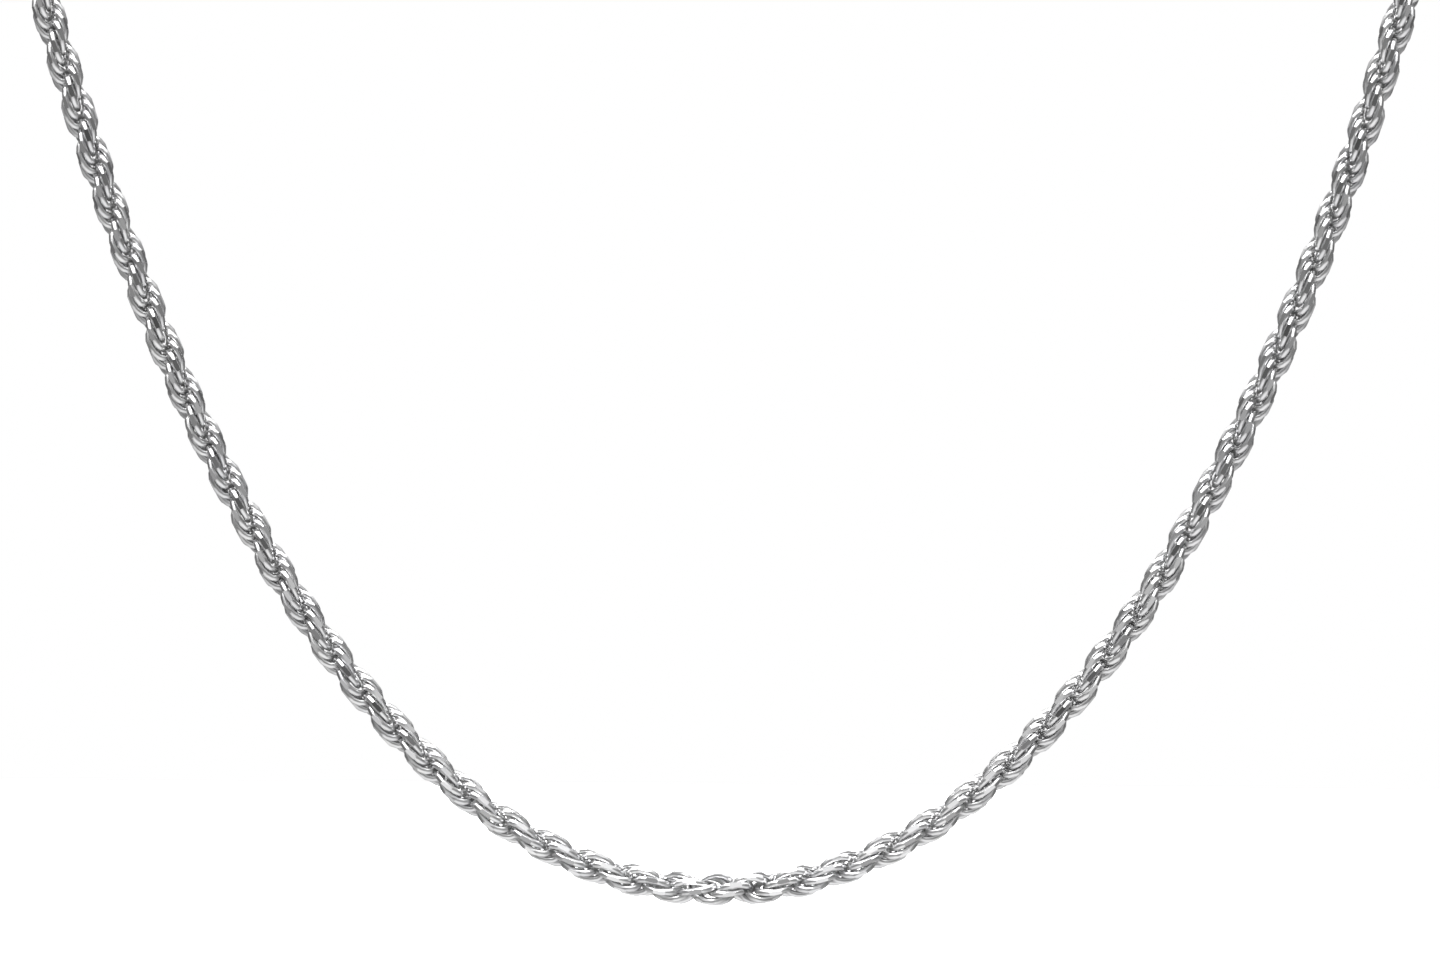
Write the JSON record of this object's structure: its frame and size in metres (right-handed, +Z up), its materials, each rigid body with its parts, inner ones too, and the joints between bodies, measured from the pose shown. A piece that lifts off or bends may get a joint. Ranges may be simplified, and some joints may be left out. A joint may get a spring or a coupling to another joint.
{
  "type": "twisted rope chain necklace",
  "caption": "Polished silver twisted rope chain necklace, closed loop with a deep hanging front and a plain barrel clasp at the nape.",
  "frame": {"origin": "middle of the neck that the necklace hangs round, level with the clasp at the nape", "axes": "+X to the viewer's right across the hanging front, +Y from the front back to the nape, +Z up along the neck; the hanging front faces -Y"},
  "size_m": [0.1334, 0.0959, 0.1149],
  "materials": {
    "rope_silver": "polished sterling silver wire links",
    "clasp_silver": "polished sterling silver"
  },
  "bodies": {
    "root": {"chain_left": "rope_silver", "chain_right": "rope_silver", "clasp": "clasp_silver"}
  },
  "joints": []
}
